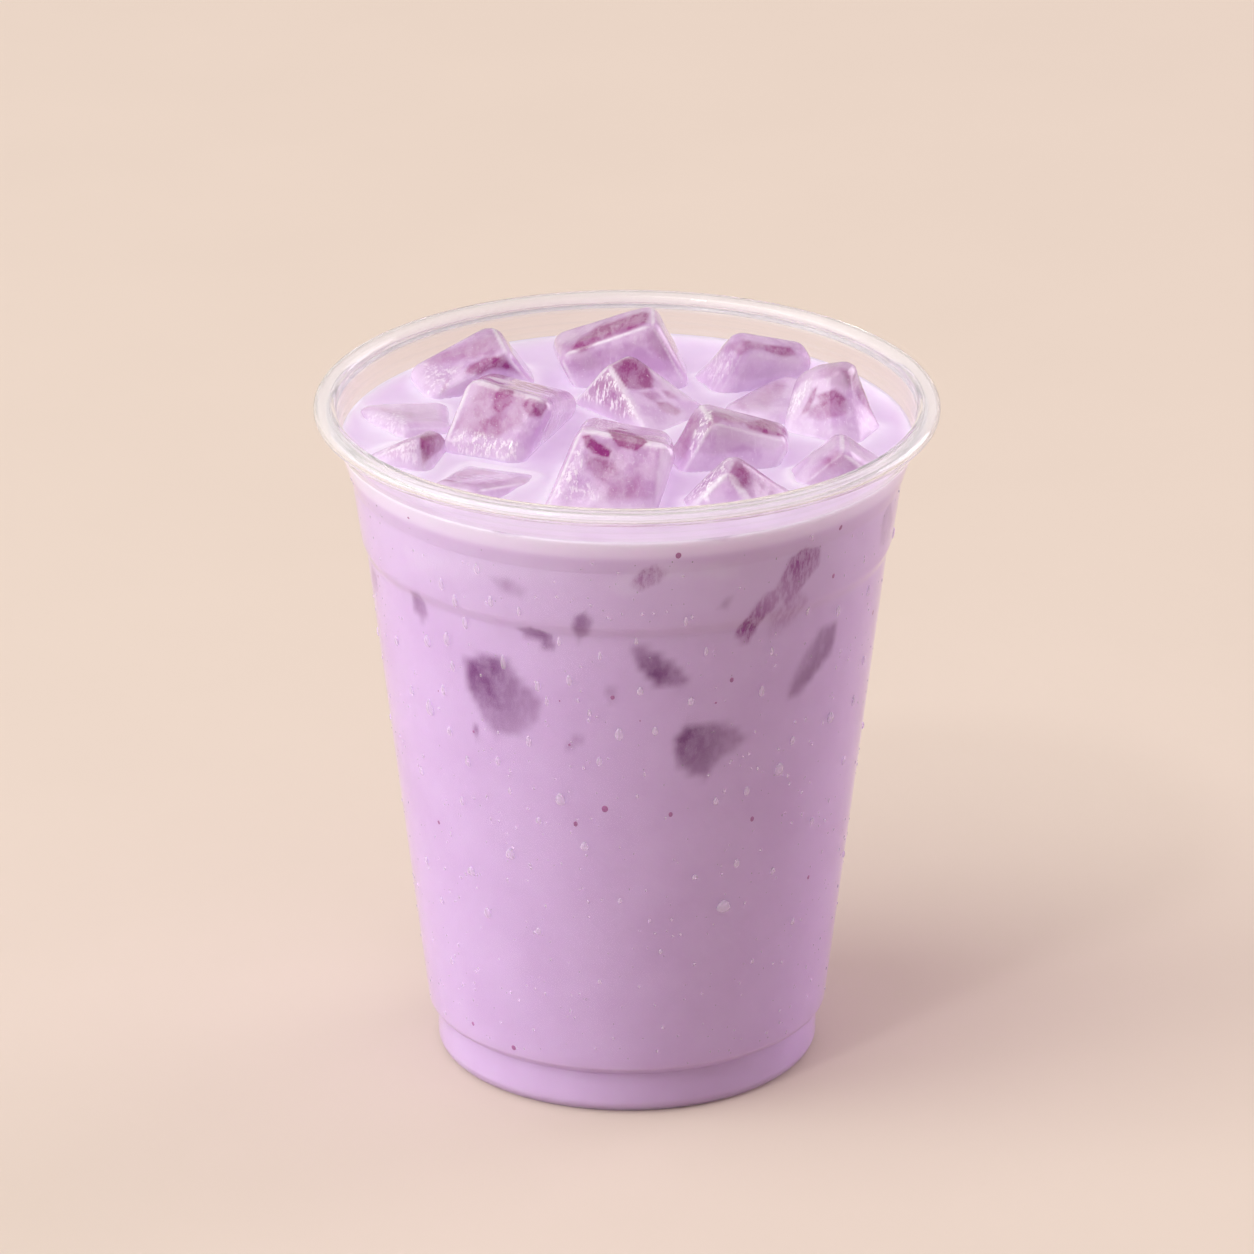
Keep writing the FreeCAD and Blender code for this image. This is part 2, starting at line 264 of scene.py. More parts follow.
# Zones of sunk ice at the wall: a point is turn in degrees and height.
SUNK_ZONES = [
    ("s", 0.85, 1.1, [-36.7, 77.7, -39.5, 78.0, -34.2, 79.9, -27.7, 80.4, -24.3, 77.2, -19.3, 73.9,
     -20.3, 70.2, -25.2, 67.2, -31.9, 66.2, -36.1, 69.7, -39.0, 73.9]),
    ("s", 0.45, 0.8, [-34.4, 78.2, -39.5, 78.0, -28.9, 80.5, -27.6, 78.8, -34.1, 76.4,
     -37.5, 76.3]),
    ("s", 0.4, 0.5, [-32.7, 74.5, -35.2, 76.2, -32.0, 76.0, -29.0, 73.0, -29.9, 71.4,
     -32.9, 72.9]),
    ("s", 0.9, 0.9, [6.4, 79.3, 0.2, 84.4, 2.8, 84.9, 7.6, 83.0, 12.6, 79.4, 15.6, 77.0,
     11.8, 76.6, 6.4, 77.6, 2.8, 80.1]),
    ("s", 0.5, 0.7, [6.1, 79.3, 3.9, 80.5, 7.2, 81.4, 9.9, 79.2, 7.3, 77.9]),
    ("s", 0.85, 1.0, [12.6, 67.7, 10.3, 67.5, 13.9, 70.3, 19.1, 70.2, 25.3, 68.8, 30.3, 65.8,
     26.5, 64.7, 22.5, 63.3, 18.8, 60.3, 14.8, 61.2, 11.4, 63.4]),
    ("s", 0.4, 0.6, [12.1, 68.1, 10.3, 67.5, 13.9, 70.1, 16.8, 69.2, 14.5, 67.2, 11.8, 65.7]),
    ("m", 0.85, 0.5, [26.2, 85.6, 23.3, 84.3, 24.7, 86.8, 30.0, 91.6, 33.4, 91.9, 34.2, 89.6,
     31.3, 87.5, 27.7, 83.5]),
    ("m", 0.8, 0.5, [38.1, 96.0, 33.1, 92.1, 35.5, 96.6, 39.0, 98.0, 44.0, 97.2, 44.1, 93.7,
     39.1, 90.5, 35.7, 88.5]),
    ("m", 0.35, 0.8, [36.9, 87.6, 31.3, 87.5, 39.1, 90.6, 42.3, 88.2, 38.5, 84.3, 32.8, 82.7]),
    ("s", 0.55, 0.9, [50.7, 79.2, 39.1, 71.1, 39.6, 73.8, 43.3, 78.3, 48.1, 81.9, 53.8, 81.8,
     53.6, 76.8, 47.4, 73.7, 43.1, 71.0]),
    ("s", 0.35, 0.5, [44.7, 72.8, 39.2, 70.9, 41.6, 74.3, 48.9, 77.9, 53.5, 78.6, 47.4, 73.7]),
    ("s", 0.6, 0.6, [-52.2, 85.1, -54.2, 87.2, -50.5, 87.9, -48.9, 84.2, -51.5, 82.0,
     -54.9, 83.4]),
    ("s", 0.35, 0.9, [-26.0, 93.8, -30.1, 94.7, -25.4, 95.1, -21.0, 93.5, -22.5, 91.6,
     -27.3, 92.4]),
    ("s", 0.8, 0.5, [-17.9, 84.7, -24.7, 86.2, -21.0, 87.2, -16.7, 85.9, -15.3, 83.7, -18.0, 83.8,
     -22.5, 85.1]),
    ("s", 0.75, 0.7, [-9.9, 88.3, -11.3, 89.8, -8.7, 90.9, -7.1, 89.0, -8.3, 86.3, -10.6, 85.3,
     -11.6, 87.7]),
    ("s", 0.65, 0.4, [-37.5, 66.3, -39.1, 67.6, -37.1, 66.9, -35.7, 64.9, -37.8, 64.7]),
    ("s", 0.5, 0.6, [-3.1, 75.9, -5.1, 76.9, -2.0, 76.6, -1.3, 75.2, -4.0, 75.0]),
    ("s", 0.35, 0.5, [-13.1, 67.0, -15.8, 65.5, -11.9, 68.1, -7.0, 69.1, -11.7, 66.4]),
    ("s", 0.3, 0.6, [20.8, 90.9, 18.9, 90.3, 20.9, 92.1, 22.9, 92.3, 21.6, 90.0]),
    ("m", 0.6, 0.5, [3.7, 97.0, 0.6, 95.5, 2.6, 98.3, 5.6, 99.2, 8.5, 97.8, 6.7, 95.7, 2.7, 94.4]),
    ("p", 0.55, 1.0, [5.7, 94.7, -5.5, 95.6, -0.4, 93.0, 7.7, 96.4, 24.2, 95.2, 24.0, 97.5,
     12.7, 99.2, 6.6, 99.8, -1.4, 97.4]),
    ("p", 0.45, 0.8, [19.2, 97.2, 12.7, 99.2, 23.8, 98.3, 24.2, 95.2, 20.5, 94.8, 15.0, 96.9]),
    ("p", 0.3, 1.6, [-45.1, 94.6, -55.0, 94.8, -22.0, 98.8, -5.4, 98.7, -13.8, 96.0, -34.5, 93.3,
     -52.4, 91.1]),
    ("s", 0.3, 0.5, [68.5, 95.4, 68.4, 91.1, 67.9, 96.4, 71.9, 97.8, 77.3, 92.8, 74.8, 89.3]),
    ("s", 0.62, 0.5, [-25.2, 104.5, -30.0, 105.1, -26.9, 106.1, -22.0, 106.1, -18.5, 104.8,
     -21.2, 103.2, -26.5, 103.0]),
    ("s", 0.62, 0.5, [14.1, 105.4, 11.0, 107.1, 15.1, 107.1, 22.2, 105.7, 22.8, 103.6, 19.4, 102.7,
     14.2, 103.6]),
    ("s", 0.4, 0.3, [-76.4, 83.1, -77.5, 85.5, -73.5, 84.4, -74.7, 81.5, -82.6, 80.1]),
]
# Specks at the wall: x, y, z, size.
SPECKS = [
    (31.6, -27.2, 90.8, 0.63), (-2.2, -39.2, 75.5, 0.63), (-23.6, -29.9, 65.8, 0.47),
    (-8.8, -37.1, 66.7, 0.47), (-3.4, -36.7, 55.7, 0.94), (-7.9, -35.6, 52.7, 0.63),
    (6.7, -36.1, 54.5, 0.63), (19.3, -30.8, 51.4, 0.63), (-29.2, -20.6, 46.3, 0.63),
    (28.2, -20.0, 36.6, 0.63), (-17.7, -25.9, 9.8, 0.78), (-24.1, -20.4, 11.4, 0.63),
    (16.0, -36.0, 77.1, 0.63), (13.6, -36.6, 73.5, 0.47), (-22.5, -37.4, 100.3, 0.47),
    (7.8, -43.1, 100.7, 0.94), (32.6, -28.5, 99.4, 0.78), (-33.4, -28.5, 101.0, 0.63),
    (38.0, -10.7, 77.8, 0.78), (-38.4, -12.3, 84.6, 0.47), (-29.0, -25.5, 70.8, 0.31),
    (16.8, -31.3, 44.5, 0.31), (-10.3, -37.7, 74.3, 0.31), (2.0, -38.7, 71.4, 0.31),
]
# Drops on the wall: x, y, z, half width, half height.
DROPS = [
    (-28.3, -30.7, 90.9, 0.47, 1.1), (-26.2, -32.1, 88.7, 0.47, 1.1),
    (-24.7, -32.0, 85.0, 0.47, 1.1), (-27.5, -28.9, 81.0, 0.63, 1.25),
    (-18.8, -35.0, 79.7, 0.47, 1.25), (-28.1, -26.7, 71.5, 0.47, 0.94),
    (-30.2, -23.4, 67.1, 0.78, 1.41), (-8.8, -38.6, 78.2, 0.47, 0.94),
    (-1.2, -38.4, 69.1, 0.63, 1.1), (-13.6, -37.0, 76.5, 0.47, 0.94),
    (14.8, -31.2, 36.8, 1.1, 1.1), (23.3, -29.1, 59.2, 0.78, 1.1), (-10.2, -35.6, 56.9, 0.78, 1.1),
    (-17.9, -30.8, 45.5, 0.78, 0.94), (-24.0, -25.5, 40.2, 0.78, 0.78),
    (-6.5, -35.4, 48.9, 0.63, 0.78), (-21.5, -26.6, 33.5, 0.63, 0.94),
    (31.2, -21.5, 64.6, 0.78, 0.94), (36.5, -12.7, 70.5, 0.47, 0.78),
    (16.8, -31.2, 44.1, 0.47, 0.78), (10.4, -33.7, 42.9, 0.47, 0.47),
    (28.5, -21.7, 47.1, 0.47, 0.63), (-30.5, -25.3, 79.2, 0.63, 1.1),
    (-22.8, -35.7, 95.5, 0.47, 0.94), (-35.4, -17.0, 75.7, 0.47, 0.94),
    (-33.1, -19.4, 68.3, 0.47, 0.94), (-27.2, -26.4, 64.4, 0.47, 0.78),
    (-19.7, -32.0, 61.8, 0.47, 0.78), (-15.0, -35.1, 66.5, 0.47, 0.94),
    (2.0, -39.3, 76.7, 0.47, 0.78), (-4.2, -37.6, 64.2, 0.47, 0.78),
    (4.3, -38.3, 69.6, 0.47, 0.78), (9.7, -37.9, 74.4, 0.47, 0.78),
    (20.5, -33.2, 74.1, 0.47, 0.94), (25.3, -28.0, 63.5, 0.47, 0.78),
    (32.2, -24.0, 83.7, 0.47, 0.94), (34.9, -14.8, 64.6, 0.47, 0.94),
    (33.4, -15.1, 54.5, 0.47, 0.78), (18.3, -32.1, 56.8, 0.47, 0.78),
    (13.6, -34.3, 56.0, 0.47, 0.63), (-13.5, -33.9, 52.5, 0.47, 0.63),
    (-25.3, -26.3, 52.5, 0.47, 0.78), (-24.4, -28.3, 60.2, 0.47, 0.94),
    (-31.7, -18.5, 54.2, 0.47, 0.78), (37.1, -15.5, 83.5, 0.47, 0.94),
    (-26.6, -29.0, 76.5, 0.47, 0.94), (-20.7, -36.2, 90.4, 0.47, 0.94),
    (-16.4, -38.2, 89.5, 0.31, 0.78), (-10.3, -39.0, 84.9, 0.31, 0.78),
    (-4.1, -39.9, 82.8, 0.31, 0.78), (1.4, -40.4, 85.5, 0.31, 0.63),
    (12.0, -38.3, 82.9, 0.31, 0.78), (22.0, -33.2, 80.8, 0.31, 0.78),
    (27.5, -29.8, 86.1, 0.31, 0.78), (8.9, -40.5, 88.8, 0.31, 0.78),
    (-12.2, -37.1, 74.1, 0.31, 0.78), (-5.7, -38.5, 72.7, 0.31, 0.63),
    (-17.9, -32.4, 56.9, 0.31, 0.63), (22.4, -27.0, 40.9, 0.47, 0.63),
    (25.6, -22.0, 30.0, 0.47, 0.63), (-31.1, -15.4, 37.4, 0.47, 0.78),
    (-28.7, -18.2, 31.8, 0.47, 0.63), (-27.2, -18.2, 21.4, 0.47, 0.63),
    (-13.6, -31.2, 32.5, 0.47, 0.63), (-1.1, -34.9, 39.3, 0.31, 0.47),
    (5.2, -33.4, 30.0, 0.31, 0.47), (-4.2, -32.8, 24.6, 0.31, 0.47),
    (19.3, -27.0, 25.4, 0.31, 0.47),
]


# ---- colours ----------------------------------------------------------------------------
def srgb(r, g, b):
    """Linear colour from 0-255 screen values."""
    out = []
    for v in (r, g, b):
        v /= 255
        out.append(v / 12.92 if v <= 0.04045 else ((v + 0.055) / 1.055) ** 2.4)
    return (*out, 1.0)


DRINK = srgb(217, 184, 230)
DRINK_DEEP = srgb(213, 178, 226)
DRINK_PALE = srgb(229, 210, 239)
# Partly froth, partly painted light: the pale band under the surface and the lighter milk near ice
# and wall.
FROTH_AND_LIGHT = srgb(244, 231, 255)
SUNK_DARK = srgb(120, 34, 128)
SUNK_ROSY = srgb(144, 14, 144)
ICE = srgb(232, 205, 234)
ICE_DEEP = srgb(212, 174, 215)
ICE_PALE = srgb(246, 232, 247)
ICE_DARK = srgb(142, 26, 118)
# The white of frost, also used for the painted highlight along the ice's edges.
ICE_WHITE = srgb(254, 248, 254)
SPECK = srgb(178, 96, 165)
PLASTIC = (0.98, 0.96, 0.985, 1)
WATER = (0.96, 0.89, 0.98, 1)
FLOOR_A = (0.768, 0.645, 0.576, 1)
FLOOR_B = (0.798, 0.67, 0.599, 1)
# Tints of the light that passes through clear pieces.
PLASTIC_TINT = (0.97, 0.96, 0.97, 1)
WATER_TINT = (0.97, 0.97, 0.97, 1)
ICE_TINT = (0.8, 0.74, 0.8, 1)
# How clear the ice is, plain and where it is stained, and how clear its white parts are.
ICE_CLEAR = 0.4
STAIN_CLEAR = 0.12
WHITE_CLEAR = 0.1


# ---- small helpers ----------------------------------------------------------------------
def ease(low, high, values):
    """Smooth step from 0 at low to 1 at high."""
    t = np.clip((values - low) / (high - low), 0, 1)
    return t * t * (3 - 2 * t)


def wave(points, size, seed=0.0):
    """Smooth noise, about -1 to 1, with bumps of the given size in mm."""
    shift = Vector((seed, seed * 1.7, seed * 0.3))
    return np.array([noise.noise(Vector(p) / size + shift) for p in points])


def rounded(corners, step=0.35):
    """Points along an open (radius, height) line whose corners are rounded."""
    out = []
    last = len(corners) - 1
    for i, (r, z, rounding) in enumerate(corners):
        here = Vector((r, z))
        if rounding == 0 or i in (0, last):
            out.append(here)
            continue
        back = (Vector(corners[i - 1][:2]) - here).normalized()
        ahead = (Vector(corners[i + 1][:2]) - here).normalized()
        half = back.angle(ahead) / 2
        middle = here + (back + ahead).normalized() * (rounding / math.sin(half))
        start = here + back * (rounding / math.tan(half)) - middle
        end = here + ahead * (rounding / math.tan(half)) - middle
        count = max(3, int(start.angle(end) * rounding / step) + 1)
        for k in range(count + 1):
            t = k / count
            out.append(middle + start.slerp(end, t) * rounding)
    return out


def divided(line, gap):
    """The same line with points no further apart than gap(height)."""
    out = [line[0]]
    for a, b in zip(line, line[1:]):
        count = max(1, math.ceil((b - a).length / gap((a.y + b.y) / 2)))
        out += [a.lerp(b, k / count) for k in range(1, count + 1)]
    return out


def turned(name, line, angles, closed=False):
    """Mesh swept about Z from a (radius, height) line in mm."""
    rings = len(line)
    count = len(angles)
    verts = []
    for r, z in line:
        verts += [(r * math.sin(a), -r * math.cos(a), z) for a in angles]
    verts = np.array(verts) * MM
    faces = []
    for i in range(rings if closed else rings - 1):
        j = (i + 1) % rings
        for k in range(count):
            m = (k + 1) % count
            faces.append((i * count + k, i * count + m, j * count + m, j * count + k))
    return made(name, verts, faces)


def made(name, verts, faces):
    """Smooth mesh object with touching points merged and its faces turned outward."""
    mesh = bpy.data.meshes.new(name)
    mesh.from_pydata([tuple(v) for v in verts], [], faces)
    clean = bmesh.new()
    clean.from_mesh(mesh)
    bmesh.ops.remove_doubles(clean, verts=clean.verts, dist=1e-6)
    bmesh.ops.recalc_face_normals(clean, faces=clean.faces)
    clean.to_mesh(mesh)
    clean.free()
    obj = bpy.data.objects.new(name, mesh)
    bpy.context.scene.collection.objects.link(obj)
    smooth(mesh)
    return obj


def join(obj, other):
    """Adds the other piece's mesh to the first and removes the other piece."""
    both = bmesh.new()
    both.from_mesh(obj.data)
    both.from_mesh(other.data)
    both.to_mesh(obj.data)
    both.free()
    bpy.data.objects.remove(other)
    smooth(obj.data)


def smooth(mesh):
    mesh.polygons.foreach_set("use_smooth", [True] * len(mesh.polygons))


def points_of(mesh):
    """Vertex places in mm."""
    flat = np.zeros(len(mesh.vertices) * 3)
    mesh.vertices.foreach_get("co", flat)
    return flat.reshape(-1, 3) / MM


def put_points(mesh, points):
    mesh.vertices.foreach_set("co", (points * MM).ravel())
    mesh.update()


def weigh(mesh, name, values):
    """Stores one number per vertex for the material."""
    layer = mesh.attributes.new(name, "FLOAT", "POINT")
    layer.data.foreach_set("value", np.clip(values, 0, 1).astype(np.float32))


def outline_distance(flat, corners):
    """Distance in mm to a closed outline, negative inside it."""
    best = np.full(len(flat), 1e9)
    inside = np.zeros(len(flat), bool)
    for a, b in zip(corners, corners[1:] + corners[:1]):
        a = np.array(a)
        way = np.array(b) - a
        along = np.clip((flat - a) @ way / max(way @ way, 1e-9), 0, 1)
        best = np.minimum(best, np.hypot(*(flat - a - along[:, None] * way).T))
        if way[1] != 0:
            crossed = (a[1] > flat[:, 1]) != (b[1] > flat[:, 1])
            reach = a[0] + (flat[:, 1] - a[1]) / way[1] * way[0]
            inside ^= crossed & (flat[:, 0] < reach)
    return np.where(inside, -best, best)


def paired(numbers):
    """Points from a row of numbers."""
    return list(zip(numbers[::2], numbers[1::2]))


def zone_cover(flat, strength, soft, corners, wobble, fade):
    """Cover of one zone at flat points; it is strongest at the zone's first point."""
    heart = np.array(corners[0])
    outline = corners[1:]
    span = max(np.hypot(*(heart - np.array(c))) for c in outline)
    away = np.clip(np.hypot(*(flat - heart).T) / span, 0, 1)
    edge = outline_distance(flat, outline) + wobble
    return strength * (1 - fade * away) * (1 - ease(-soft, 0.7 * soft, edge))


def laid(total, cover):
    """One soft layer laid over another."""
    return total + cover * (1 - total)


# ---- materials --------------------------------------------------------------------------
class Nodes:
    """A material's node tree, with short ways to add to it."""

    def __init__(self, name):
        self.material = bpy.data.materials.new(name)
        self.material.use_nodes = True
        self.tree = self.material.node_tree
        self.tree.nodes.clear()
        self.out = self.add("ShaderNodeOutputMaterial")

    def add(self, kind, **values):
        node = self.tree.nodes.new(kind)
        for key, value in values.items():
            setattr(node, key, value)
        return node

    def join(self, source, target):
        self.tree.links.new(source, target)

    def number(self, value, target):
        """Sets or links a socket."""
        if isinstance(value, bpy.types.NodeSocket):
            self.join(value, target)
        else:
            target.default_value = value

    def math(self, operation, a, b=0.0, clamp=False):
        node = self.add("ShaderNodeMath", operation=operation, use_clamp=clamp)
        self.number(a, node.inputs[0])
        self.number(b, node.inputs[1])
        return node.outputs[0]

    def mix(self, amount, a, b):
        node = self.add("ShaderNodeMix", data_type="RGBA")
        self.number(amount, node.inputs["Factor"])
        self.number(a, node.inputs["A"])
        self.number(b, node.inputs["B"])
        return next(s for s in node.outputs if s.type == "RGBA")

    def ramp(self, value, low, high, start=0.0, end=1.0):
        node = self.add("ShaderNodeMapRange", interpolation_type="SMOOTHSTEP")
        self.number(value, node.inputs["Value"])
        node.inputs["From Min"].default_value = low
        node.inputs["From Max"].default_value = high
        node.inputs["To Min"].default_value = start
        node.inputs["To Max"].default_value = end
        return node.outputs["Result"]

    def weight(self, name):
        return self.add("ShaderNodeAttribute", attribute_name=name).outputs["Fac"]

    def place(self, stretch=(1, 1, 1), turn=(0, 0, 0)):
        """Object coordinates in mm, stretched and turned."""
        coords = self.add("ShaderNodeTexCoord").outputs["Object"]
        mapping = self.add("ShaderNodeMapping")
        self.join(coords, mapping.inputs["Vector"])
        mapping.inputs["Rotation"].default_value = [math.radians(v) for v in turn]
        mapping.inputs["Scale"].default_value = [v / MM for v in stretch]
        return mapping.outputs["Vector"]

    def noise(self, where, scale, detail=3.0, rough=0.55):
        node = self.add("ShaderNodeTexNoise")
        self.join(where, node.inputs["Vector"])
        node.inputs["Scale"].default_value = scale
        node.inputs["Detail"].default_value = detail
        node.inputs["Roughness"].default_value = rough
        return node.outputs["Fac"]

    def bump(self, height, strength, distance):
        node = self.add("ShaderNodeBump")
        node.inputs["Strength"].default_value = strength
        node.inputs["Distance"].default_value = distance * MM
        self.join(height, node.inputs["Height"])
        return node.outputs["Normal"]

    def principled(self, **values):
        node = self.add("ShaderNodeBsdfPrincipled")
        for key, value in values.items():
            self.number(value, node.inputs[key.replace("_", " ")])
        return node

    def finish(self, shader):
        self.join(shader.outputs[0], self.out.inputs["Surface"])
        return self.material

    def clear(self, shader, tint):
        """Finishes a clear material that lets lamps through."""
        mixer = self.add("ShaderNodeMixShader")
        ray = self.add("ShaderNodeLightPath")
        open_way = self.add("ShaderNodeBsdfTransparent")
        open_way.inputs["Color"].default_value = tint
        self.join(ray.outputs["Is Shadow Ray"], mixer.inputs[0])
        self.join(shader.outputs[0], mixer.inputs[1])
        self.join(open_way.outputs[0], mixer.inputs[2])
        return self.finish(mixer)


def plastic_material():
    n = Nodes("clear_plastic")
    fine = n.noise(n.place(), 0.12, 2)
    # Less clear, so whiter, where the cup carries painted highlight and reflection, and at the
    # thick rim.
    shader = n.principled(
        Base_Color=PLASTIC, Roughness=n.ramp(fine, 0.3, 0.7, 0.02, 0.07), IOR=1.33,
        Transmission_Weight=n.ramp(n.weight("milky_and_lit"), 0, 1, 0.95, 0.84))
    return n.clear(shader, PLASTIC_TINT)


def water_material():
    n = Nodes("condensation")
    fine = n.noise(n.place(), 3.0, 1)
    shader = n.principled(
        Base_Color=WATER, Roughness=0.05, IOR=1.33, Transmission_Weight=0.73,
        Normal=n.bump(fine, 0.05, 0.05))
    return n.clear(shader, WATER_TINT)


def latte_material():
    n = Nodes("latte")
    stain = n.weight("stain")
    rosy = n.weight("rosy")
    pale = n.weight("pale")
    froth_and_light = n.weight("froth_and_light")
    where = n.place()
    cloud = n.noise(where, 0.09, 3)
    thread = n.noise(n.place((1, 1, 0.3), (0, 42, 0)), 1.3, 5, 0.7)
    grain = n.noise(where, 1.4, 4, 0.7)
    streak = n.noise(n.place((1, 1, 0.6), (0, 35, 0)), 0.55, 4, 0.6)
    base = n.mix(n.ramp(cloud, 0.35, 0.7), DRINK, DRINK_DEEP)
    base = n.mix(n.math("MULTIPLY", n.ramp(grain, 0.62, 0.8), 0.12), base, DRINK_PALE)
    base = n.mix(n.math("MULTIPLY", pale, n.ramp(streak, 0.3, 0.6, 0.85, 1.0)), base, DRINK_PALE)
    # The froth colour is partly froth and partly painted light: a lit band under the surface,
    # lighter milk near the ice and the wall.
    base = n.mix(froth_and_light, base, FROTH_AND_LIGHT)
    patch = n.math("MULTIPLY", stain, n.ramp(streak, 0.3, 0.62, 0.85, 1.2), clamp=True)
    base = n.mix(patch, base, SUNK_DARK)
    glow = n.math("MULTIPLY", rosy, n.ramp(thread, 0.4, 0.62, 1.3, 0.55), clamp=True)
    base = n.mix(glow, base, SUNK_ROSY)
    shader = n.principled(
        Base_Color=base, Roughness=0.5, IOR=1.45, Subsurface_Weight=0.35,
        Subsurface_Scale=0.004, Subsurface_Radius=(1.0, 0.7, 0.9),
        Specular_IOR_Level=0.25, Coat_Weight=0.1, Coat_Roughness=0.2,
        Normal=n.bump(grain, 0.05, 0.12))
    return n.finish(shader)


def ice_material():
    n = Nodes("ice")
    stain = n.weight("stain")
    frost = n.weight("frost")
    film = n.weight("film")
    edge = n.weight("edge")
    pale = n.weight("pale")
    where = n.place()
    streak = n.noise(n.place((1, 0.4, 1), (20, 30, 10)), 0.55, 5, 0.7)
    crack = n.noise(n.place((1, 0.8, 0.24), (0, 28, 15)), 1.7, 6, 0.72)
    fleck = n.noise(where, 2.6, 4, 0.7)
    cloud = n.noise(where, 0.22, 3, 0.6)
    patch = n.math("MULTIPLY", stain, n.ramp(streak, 0.36, 0.6, 1.3, 0.85), clamp=True)
    vein = n.math("MULTIPLY", frost, n.ramp(crack, 0.48, 0.58, 0.0, 0.85), clamp=True)
    spot = n.math("MULTIPLY", n.ramp(fleck, 0.63, 0.7), 0.45)
    white = n.math("MAXIMUM", vein, spot, clamp=True)
    # Painted highlight along the ice's rounded edges, where light would catch them; weaker on the
    # stains.
    rim = n.math("MULTIPLY", edge, n.ramp(streak, 0.3, 0.6, 0.45, 1.0), clamp=True)
    rim = n.math("MULTIPLY", rim, n.ramp(stain, 0.2, 0.8, 1.0, 0.25))
    base = n.mix(n.ramp(cloud, 0.4, 0.62), ICE, ICE_DEEP)
    base = n.mix(n.ramp(crack, 0.55, 0.68, 0.0, 0.5), base, ICE_PALE)
    base = n.mix(patch, base, ICE_DARK)
    base = n.mix(rim, base, ICE_WHITE)
    base = n.mix(n.math("MULTIPLY", pale, 0.8), base, ICE_PALE)
    base = n.mix(white, base, ICE_WHITE)
    base = n.mix(film, base, DRINK_PALE)
    solid = n.math("MAXIMUM", n.math("MULTIPLY", white, 0.8), film)
    open_part = n.ramp(patch, 0, 1, ICE_CLEAR, STAIN_CLEAR)
    through = n.math("MULTIPLY", n.ramp(solid, 0, 1, 1.0, WHITE_CLEAR), open_part)
    relief = n.math("ADD", streak, n.math("MULTIPLY", n.math("ADD", frost, 0.3), crack))
    shader = n.principled(
        Base_Color=base, Roughness=n.ramp(white, 0, 1, 0.06, 0.3), IOR=1.31,
        Transmission_Weight=through, Coat_Weight=0.7, Coat_Roughness=0.03,
        Normal=n.bump(relief, 0.5, 0.3))
    return n.clear(shader, ICE_TINT)


def speck_material():
    n = Nodes("taro_speck")
    grain = n.noise(n.place(), 1.5, 2)
    base = n.mix(grain, SPECK, tuple(0.8 * v for v in SPECK[:3]) + (1,))
    return n.finish(n.principled(Base_Color=base, Roughness=0.5, IOR=1.4, Coat_Weight=0.2))


def floor_material():
    n = Nodes("paper_floor")
    cloud = n.noise(n.place(), 0.02, 4)
    base = n.mix(cloud, FLOOR_A, FLOOR_B)
    return n.finish(n.principled(Base_Color=base, Roughness=0.9, Specular_IOR_Level=0.1))


# ---- cup --------------------------------------------------------------------------------
def even_angles(count):
    return [2 * math.pi * k / count for k in range(count)]


def wall_line(inset):
    """The side wall from foot to neck, moved in by this much in mm."""
    rise = 0.4 * inset
    return [(r - inset, z + (rise if z < 95 else 0), rounding) for r, z, rounding in SIDE]


def make_cup(material):
    """Thin shell with a raised base and a hollow rolled rim; the neck has the finest rings."""
    shell = rounded([
        (AXIS, 1.2, 0), (26.0, 1.2, 0.5), (26.6, 0, 0.4), (FOOT, 0, 2.0), *wall_line(0),
        (45.95, RIM_UNDER, 0.4), (RIM, RIM_UNDER, 0.95), (RIM, CUP_HEIGHT, 1.05),
        (MOUTH, CUP_HEIGHT, 0.7), (MOUTH - 0.2, NECK_TOP, 0.4), *reversed(wall_line(WALL)),
        (FOOT - WALL, 0.7, 1.5), (27.1, 0.7, 0.3), (26.5, 1.9, 0.4), (AXIS, 1.9, 0)], step=0.2)
    line = divided(shell, lambda z: 0.2 if z > SURFACE else 4.0)
    cup = turned("cup_shell", line, even_angles(CUP_SEGMENTS))
    hollow = rounded(ROLL, step=0.2)
    roll = turned("rim_roll", hollow[:-1], even_angles(CUP_SEGMENTS), closed=True)
    roll.data.flip_normals()
    join(cup, roll)
    cup.data.materials.append(material)
    # Whiter, less clear plastic: at the rolled rim partly for its thick plastic and partly as
    # painted highlight, thin painted highlight lines on the neck's steps, and a faint painted
    # reflection on the wall above the drink.
    height = points_of(cup.data)[:, 2]
    milky_and_lit = ease(CUP_HEIGHT - 3.2, CUP_HEIGHT - 2.0, height)
    for rise, share in LEDGES:
        near = np.exp(-((height - LEVEL - rise) / LEDGE_SIZE) ** 2)
        milky_and_lit = np.maximum(milky_and_lit, share * near)
    weigh(cup.data, "milky_and_lit", np.maximum(milky_and_lit, 0.16 * ease(LEVEL - 0.5, LEVEL + 0.5, height)))
    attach(cup, "root")
    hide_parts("cup")


# ---- ice --------------------------------------------------------------------------------
def evened(node):
    """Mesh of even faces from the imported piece, and the planes of its flat faces."""
    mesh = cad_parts[node].data.copy()
    clean = bmesh.new()
    clean.from_mesh(mesh)
    bmesh.ops.remove_doubles(clean, verts=clean.verts, dist=2e-6)
    flats = flat_faces(clean)
    clean.to_mesh(mesh)
    clean.free()
    rough = bpy.data.objects.new("rough", mesh)
    bpy.context.scene.collection.objects.link(rough)
    even = rough.modifiers.new("even", "REMESH")
    even.mode = "VOXEL"
    even.voxel_size = ICE_GRID * MM
    soft = rough.modifiers.new("soft", "SMOOTH")
    soft.iterations = 4
    graph = bpy.context.evaluated_depsgraph_get()
    mesh = bpy.data.meshes.new_from_object(rough.evaluated_get(graph))
    bpy.data.objects.remove(rough)
    return mesh, flats


